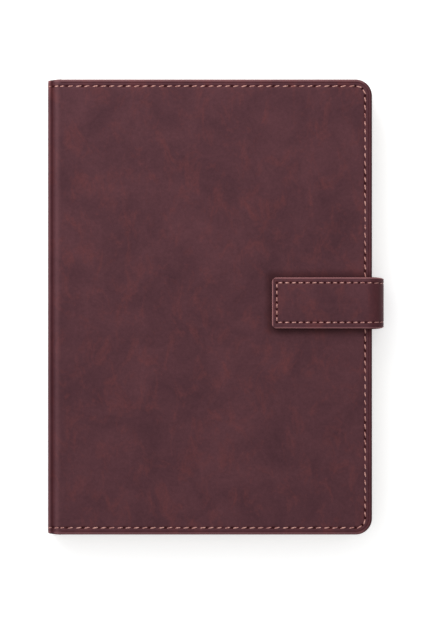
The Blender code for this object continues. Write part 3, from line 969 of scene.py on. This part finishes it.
def laid(point, way, up, slant, size=1.0, thick=1.0):
    """Where a stitch lies: its middle, the seam's way, the side it shows on, slant and size."""
    along = way.normalized()
    across = up.cross(along).normalized()
    along = (along * math.cos(slant) + across * math.sin(slant)).normalized()
    across = up.cross(along).normalized()
    turned = Matrix((along, across, along.cross(across))).transposed().to_4x4()
    return Matrix.Translation(point) @ turned @ Matrix.Diagonal((size, thick, thick, 1.0))


hand = random.Random(7)
lining_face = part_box("front_cover_lining")[0].z
outer_places = []
inner_places = []
for number, (point, way) in enumerate(seam_stitches[1:-1]):
    slant = STITCH_SLANT + math.radians(hand.uniform(-3, 3))
    size = hand.uniform(0.95, 1.05)
    outer_places.append(laid(point + UP * (FACE - OUTER_SUNK), way, UP, slant, size))
    if 1 < number < len(seam_stitches) - 4:
        inner_places.append(laid(point + UP * (lining_face + INNER_SUNK), way, -UP, slant, size))

joint_places = []
for side in (1, -1):
    for away in JOINT_STITCHES:
        after = min(sum(point[0] <= away for point in JOINT_LINE), len(JOINT_LINE) - 1)
        (near, above), (far, below) = JOINT_LINE[after - 1], JOINT_LINE[after]
        under = above + (away - near) / (far - near) * (below - above)
        on_roll = away < JOINT_HOLES[0]
        under += ROLL_SUNK if on_roll else JOINT_SUNK
        point = Vector((SPINE_FACE + away, side * (cover_high.y - SEAM_INSET), FACE - under))
        way = Vector((far - near, 0, above - below))
        size = ROLL_SHARE if on_roll else JOINT_SHARE
        joint_places.append(laid(point, way, UP, STITCH_SLANT, size))

outer_stitch = new_stitch("outer_stitch", length=0.0025, radius=0.00027)
inner_stitch = new_stitch("inner_stitch", length=0.003, radius=0.00026)
front_stitches = sew("front_cover_stitches", outer_stitch, outer_places)
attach(front_stitches, "front_cover")
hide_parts("front_cover_thread")
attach(sew("front_lining_stitches", inner_stitch, inner_places), "front_cover")
front_joint_stitches = sew("front_joint_stitches", outer_stitch, joint_places)
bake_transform(front_joint_stitches)
back_places = [TURNED_OVER @ place for place in outer_places + joint_places]
back_stitches = sew("back_cover_stitches", outer_stitch, back_places)
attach(back_stitches, "book")
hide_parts("back_cover_thread")
back_inner_places = [TURNED_OVER @ place for place in inner_places]
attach(sew("back_lining_stitches", inner_stitch, back_inner_places), "book")
for stitch in (outer_stitch, inner_stitch):
    bpy.data.objects.remove(stitch)


# Closing strap: two layers of the same leatherette glued back to back, sewn all round, with
# bare painted edges. It leaves the back cover's edge, stands up the fore edge and lies over the
# front, bending at both turns. It is made flat from its tip and then folded round the book.
TRIMMED = 0.00026
STANDS_OUT = 0.0002
STRAP_CORNER = 0.0019
STRAP_SEAM = 0.0027
TIP_SEAM = 0.0022
STRAP_PITCH = 0.00316
NARROWING = 0.00034
ROOT_FLARE = 0.0005
NECK_THINNED = 0.48
GLUE_LINE = 0.0001
GLUE_STEP = 0.00009
STRAP_TOP = 0.0004
RIM_END = 0.0012
STRAP_CHANNEL = 0.00016
STRAP_PRICK = 0.00036
EDGE_INSET = 0.0001
EDGE_WIDTH = 0.0003
EDGE_RUBBED = 0.7
# Painted highlight on the crest where the front bend ends, and painted shade in that bend.
CREST_RUN = 0.0088
CREST_WIDTH = 0.0016
CREST_HIGHLIGHT = 0.4
BEND_SHADE = 0.3
BEND_CLOSES = 0.7
TIP_CUTS = 51
FINE_CUT = 0.0003
# The strap's edge from its middle layer up: how far in from the edge, how far under the face.
STRAP_RIM = (
    (0.0, 0.00048), (0.00005, 0.00025), (0.00016, 0.00009), (0.00036, 0.0), (0.00066, 0.0),
    (0.00086, 0.00009), (0.00106, 0.00001), (0.0014, 0.0),
)
SIDE_CHANNEL = (0.002, 0.00232, STRAP_SEAM, 0.00308, 0.0034, 0.0039)
TIP_CHANNEL = (0.0015, 0.00182, TIP_SEAM, 0.00258, 0.0029, 0.0034)

strap_low, strap_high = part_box("strap_tab_leather")
front_low, front_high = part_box("strap_front_bend")
back_low, back_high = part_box("strap_back_bend")
SEAM_LOW = strap_low.y + STRAP_SEAM
SEAM_HIGH = strap_high.y - STRAP_SEAM
strap_high.y -= TRIMMED
STRAP_MIDDLE = (strap_low.y + strap_high.y) / 2
for corner in (front_low, front_high, back_low):
    corner.x += STANDS_OUT
HALF_STRAP = (strap_high.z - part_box("strap_tab_lining")[0].z) / 2
TAB_LEVEL = strap_high.z - HALF_STRAP
WALL_X = front_high.x - HALF_STRAP
FRONT_TURN = TAB_LEVEL - front_low.z
BACK_TURN = WALL_X - back_low.x
TAB_RUN = front_low.x - strap_low.x
FRONT_RUN = FRONT_TURN * math.pi / 2
WALL_RUN = front_low.z - back_high.z
BACK_RUN = BACK_TURN * math.pi / 2
NECK_RUN = 0.0007 + STANDS_OUT
STRAP_RUN = TAB_RUN + FRONT_RUN + WALL_RUN + BACK_RUN + NECK_RUN
STRAP_PARTING = TAB_RUN + FRONT_RUN + WALL_RUN / 2

strap_lining = lining_finish("strap_back_lining", tone(72, 45, 46), tone(86, 56, 57))


def eased(value, low, high):
    """0 up to a low value and 1 from a high one, rising smoothly between them."""
    part = min(1.0, max(0.0, (value - low) / (high - low)))
    return part * part * (3 - 2 * part)


def narrowed(run, across):
    """Across the strap, which draws in where it bends over the front and is widest at its root."""
    pulled = NARROWING * eased(run, TAB_RUN, TAB_RUN + FRONT_RUN)
    pulled -= (NARROWING + ROOT_FLARE) * eased(run, STRAP_PARTING, STRAP_RUN - NECK_RUN)
    half_width = (strap_high.y - strap_low.y) / 2
    return STRAP_MIDDLE + (across - STRAP_MIDDLE) * (1 - pulled / half_width)


def folded(run, height):
    """Where a point of the flat strap comes once the strap is folded round the book, and its way."""
    if run <= TAB_RUN:
        return (strap_low.x + run, TAB_LEVEL + height), (1.0, 0.0)
    run -= TAB_RUN
    if run <= FRONT_RUN:
        turn = run / FRONT_TURN
        out = FRONT_TURN + height
        place = (front_low.x + out * math.sin(turn), front_low.z + out * math.cos(turn))
        return place, (math.cos(turn), -math.sin(turn))
    run -= FRONT_RUN
    if run <= WALL_RUN:
        return (WALL_X + height, front_low.z - run), (0.0, -1.0)
    run -= WALL_RUN
    if run <= BACK_RUN:
        turn = run / BACK_TURN
        out = BACK_TURN + height
        place = (back_low.x + out * math.cos(turn), back_high.z - out * math.sin(turn))
        return place, (-math.sin(turn), -math.cos(turn))
    run -= BACK_RUN
    thin = NECK_THINNED if run > STANDS_OUT else 1.0
    return (back_low.x - run, back_high.z - BACK_TURN - height * thin), (-1.0, 0.0)


def strap_seam():
    """The strap's stitches, as flat places and directions, and its needle holes, sides then tip."""
    sides = round((STRAP_RUN - NECK_RUN - TIP_SEAM) / STRAP_PITCH)
    tips = round((SEAM_HIGH - SEAM_LOW) / STRAP_PITCH)
    tip_pitch = (SEAM_HIGH - SEAM_LOW) / tips
    stitches = []
    holes = []
    for number in range(sides):
        run = TIP_SEAM + (number + 0.5) * STRAP_PITCH
        for side in (SEAM_LOW, SEAM_HIGH):
            stitches.append((run, side, (1.0, 0.0)))
            holes.append((run - STRAP_PITCH / 2, side, 0.0))
    for number in range(tips):
        across = SEAM_LOW + (number + 0.5) * tip_pitch
        stitches.append((TIP_SEAM, across, (0.0, 1.0)))
        holes.append((TIP_SEAM, across - tip_pitch / 2, 0.0))
    return stitches, holes


strap_stitches, strap_pricks = strap_seam()
strap_holes = find_holes(strap_pricks)


def seam_distance(run, across):
    """How far a flat place of the strap lies from its seam."""
    beside = max(SEAM_LOW - across, across - SEAM_HIGH)
    before = TIP_SEAM - run
    if max(beside, before) < 0:
        return -max(beside, before)
    return math.hypot(max(0.0, before), max(0.0, beside))


def strap_wear_and_light(run, inwards, bend, hole):
    """Worn along its bare edges, with a painted highlight on the crest of the front bend and painted
    shade in that bend and the holes.
    """
    edge = fade(max(0.0, inwards - EDGE_INSET), EDGE_WIDTH)
    crest = fade(run - TAB_RUN - CREST_RUN, CREST_WIDTH)
    return EDGE_RUBBED * edge - hole - (BEND_SHADE * bend - CREST_HIGHLIGHT * crest) * (1 - edge)


def make_strap_part(name, begin, end):
    """One length of the strap, made flat, cut to its run and folded into place."""
    strap = new_plate(name, (0.0, strap_low.y), (STRAP_RUN + SPARE, strap_high.y), 0.0)
    pick(strap, "VERT", lambda corner: corner.co.x < NEAR)
    bpy.ops.mesh.bevel(offset=STRAP_CORNER, segments=8, affect="VERTICES")
    pick(strap, "EDGE", lambda edge: middle(edge).x < NEAR)
    bpy.ops.mesh.subdivide(number_cuts=TIP_CUTS)
    pick(strap, "FACE", lambda face: True)
    draw_out(0, 0, GLUE_STEP)
    draw_out(0, 0, HALF_STRAP - STRAP_RIM[0][1] - GLUE_STEP)
    step_in(STRAP_RIM)
    for from_side, from_tip in zip(SIDE_CHANNEL, TIP_CHANNEL):
        cut((0, strap_low.y + from_side, 0), (0, 1, 0))
        cut((0, SEAM_HIGH + STRAP_SEAM - from_side, 0), (0, 1, 0))
        cut((from_tip, 0, 0), (1, 0, 0))
    if begin == 0:
        across = strap_low.y + SIDE_CHANNEL[-1]
        while across < strap_high.y - SIDE_CHANNEL[-1]:
            pick(strap, "FACE", lambda face: middle(face).x < TIP_CHANNEL[-1] and face.normal.z > 0.9)
            bpy.ops.mesh.bisect(plane_co=(0, across, 0), plane_no=(0, 1, 0))
            across += FINE_CUT
    first = max(begin, TIP_CHANNEL[-1])
    cuts = int((end - first) / FINE_CUT)
    for step in range(1, cuts):
        cut((first + (end - first) * step / cuts, 0, 0), (1, 0, 0))
    for edge, way in ((begin, -1), (end, 1)):
        if edge > 0:
            cut((edge, 0, 0), (way, 0, 0), clear_outer=True, use_fill=True)
    pick(strap, "FACE", lambda face: max(corner.co.z for corner in face.verts) < NEAR)
    bpy.ops.mesh.delete(type="FACE")
    bpy.ops.object.mode_set(mode="OBJECT")
    worn_and_painted_light = []
    for vertex in strap.data.vertices:
        run, across, height = vertex.co
        inwards = min(across - strap_low.y, strap_high.y - across, run)
        bend = eased(run, TAB_RUN - 0.002, TAB_RUN + 0.006)
        on_face = height > HALF_STRAP - STRAP_TOP
        hole = 0.0
        if on_face:
            # Painted shade in the needle holes, which close up in the bend.
            hole = fade(strap_holes.find((run, across, 0))[2], NEEDLE_SHADE_REACH, 4)
            hole *= 1 - BEND_CLOSES * bend
        worn_and_painted_light.append(strap_wear_and_light(run, inwards, bend, hole))
        if on_face and inwards > RIM_END:
            channel = fade(seam_distance(run, across), CHANNEL_WIDTH)
            vertex.co.z -= STRAP_CHANNEL * channel + STRAP_PRICK * hole
        if height < NEAR:
            vertex.co.y -= math.copysign(GLUE_LINE, across - STRAP_MIDDLE)
            vertex.co.x += GLUE_LINE if run < STRAP_CORNER else 0.0
    set_wear_and_light(strap, lambda vertex: worn_and_painted_light[vertex.index])
    other_half(strap, "under_layer")
    apply_all(strap)
    bpy.ops.object.mode_set(mode="EDIT")
    face_outwards()
    finish_piece(strap, leather, strap_lining)
    for face in strap.data.polygons:
        face.material_index = 1 if face.normal.z < -0.8 else 0
    for vertex in strap.data.vertices:
        x, z = folded(vertex.co.x, vertex.co.z)[0]
        vertex.co = (x, narrowed(vertex.co.x, vertex.co.y), z)
    strap.data.update()
    return strap


strap_tab = make_strap_part("strap_tab_fold", 0.0, STRAP_PARTING)
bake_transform(strap_tab)
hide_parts("strap_front_bend", "strap_tab_leather", "strap_tab_lining")
strap_side = make_strap_part("strap_side_fold", STRAP_PARTING, STRAP_RUN)
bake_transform(strap_side)
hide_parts("strap_back_bend", "strap_side_leather", "strap_side_lining")
dress("strap_root", strap_lining)


# Strap stitching: the same thread, a little finer in its stitch, round three sides of the strap
# and up over both bends. It shows on the leather and on the lining.
STRAP_SUNK = 0.00013
BEND_SUNK = 0.00007
BEND_LONGER = 0.5
BEND_THINNER = 0.4
strap_stitch = new_stitch("strap_stitch", length=0.0019, radius=0.00026)
tab_places = []
side_places = []
for run, across, (onwards, sideways) in strap_stitches:
    bend = eased(run, TAB_RUN + 0.001, TAB_RUN + 0.005)
    sunk = STRAP_SUNK + BEND_SUNK * bend
    for face in (1, -1):
        (x, z), (way_x, way_z) = folded(run, face * (HALF_STRAP - sunk))
        point = Vector((x, narrowed(run, across), z))
        way = Vector((way_x * onwards, sideways, way_z * onwards))
        up = Vector((-way_z, 0, way_x)) * face
        slant = math.radians(hand.uniform(2, 8))
        size = hand.uniform(0.95, 1.05) * (1 + BEND_LONGER * bend)
        places = tab_places if run < STRAP_PARTING else side_places
        places.append(laid(point, way, up, slant, size, 1 - BEND_THINNER * bend))

tab_stitches = sew("strap_tab_stitches", strap_stitch, tab_places)
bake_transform(tab_stitches)
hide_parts("strap_thread")
side_stitches = sew("strap_side_stitches", strap_stitch, side_places)
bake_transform(side_stitches)
bpy.data.objects.remove(strap_stitch)


# Magnet and keeper: a flat nickel-plated magnet sewn inside the tab and a steel plate let into
# the front board below it. Both are hidden, and hold the strap shut.
steel, tree, shader = new_finish("plated_steel", roughness=0.32, specular=0.5)
shader.inputs["Metallic"].default_value = 1.0
brushed = noise(tree, stretched(tree, own_place(tree), (1.0, 30.0, 30.0)), 220.0)
steel_colour = mixed(tree, brushed, tone(168, 168, 166), tone(206, 205, 200))
put(tree, shader.inputs["Base Color"], steel_colour)
put(tree, shader.inputs["Roughness"], levels(tree, brushed, 0.3, 0.7, 0.26, 0.4))
for node in ("strap_magnet", "keeper_plate"):
    dress(node, steel)


# Studio: a white table under soft light, a broad lamp high on the spine side of the head
# and a pale room all round. The camera looks straight down, as the photograph does.
WHITE = (1.0, 1.0, 1.0, 1.0)
TABLE_WHITE = (0.92, 0.92, 0.92, 1.0)
TABLE_BOUNCE = (0.85, 0.85, 0.85, 1.0)
TABLE_GLOW = 0.51
HEAD_GLOW = (0.33, 1.08)
SPINE_GLOW = (1.35, 0.58)
bpy.ops.object.select_all(action="DESELECT")
bpy.ops.mesh.primitive_plane_add(size=1.6, location=(0, 0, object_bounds()[0].z))
table = bpy.context.object
table.name = "white_table"
table_finish, tree, shader = new_finish("white_table_top", roughness=0.9, specular=0.1)
seen = tree.nodes.new("ShaderNodeLightPath").outputs
shown = reckon(tree, "MAXIMUM", seen["Is Camera Ray"], seen["Is Glossy Ray"])
shown = reckon(tree, "MAXIMUM", shown, seen["Is Transmission Ray"])
put(tree, shader.inputs["Base Color"], mixed(tree, shown, TABLE_BOUNCE, TABLE_WHITE))
put(tree, shader.inputs["Emission Color"], WHITE)
put(tree, shader.inputs["Emission Strength"], reckon(tree, "MULTIPLY", shown, TABLE_GLOW))
table.data.materials.append(table_finish)

room = bpy.data.worlds.new("pale_room")
bpy.context.scene.world = room
room.use_nodes = True
tree = room.node_tree
backdrop = tree.nodes["Background"].inputs
put(tree, backdrop["Color"], WHITE)
seen = tree.nodes.new("ShaderNodeLightPath").outputs["Is Camera Ray"]
looking = split(tree, tree.nodes.new("ShaderNodeTexCoord").outputs["Generated"])
to_head = levels(tree, looking["Y"], -1.0, 1.0, *HEAD_GLOW)
to_spine = levels(tree, looking["X"], -1.0, 1.0, *SPINE_GLOW)
glow = reckon(tree, "MULTIPLY", to_head, to_spine)
put(tree, backdrop["Strength"], levels(tree, seen, 0.0, 1.0, glow, 1.0))

LAMP_PLACE = Vector((-0.2, 0.35, 0.32))
light = bpy.data.lights.new("head_lamp", "AREA")
light.shape = "SQUARE"
light.size = 0.35
light.energy = 1.05
lamp = bpy.data.objects.new("head_lamp", light)
bpy.context.scene.collection.objects.link(lamp)
lamp.location = LAMP_PLACE
lamp.rotation_euler = (-LAMP_PLACE).to_track_quat("-Z", "Y").to_euler()

CAMERA_HEIGHT = 1.2
FRAME_HEIGHT = 0.2917
view = bpy.data.cameras.new("overhead_camera")
view.sensor_width = 36.0
view.lens = view.sensor_width * CAMERA_HEIGHT / FRAME_HEIGHT
camera = bpy.data.objects.new("overhead_camera", view)
bpy.context.scene.collection.objects.link(camera)
camera.location = (0.00026, -0.00392, FACE + CAMERA_HEIGHT)
bpy.context.scene.camera = camera
bpy.context.scene.view_settings.view_transform = "Standard"
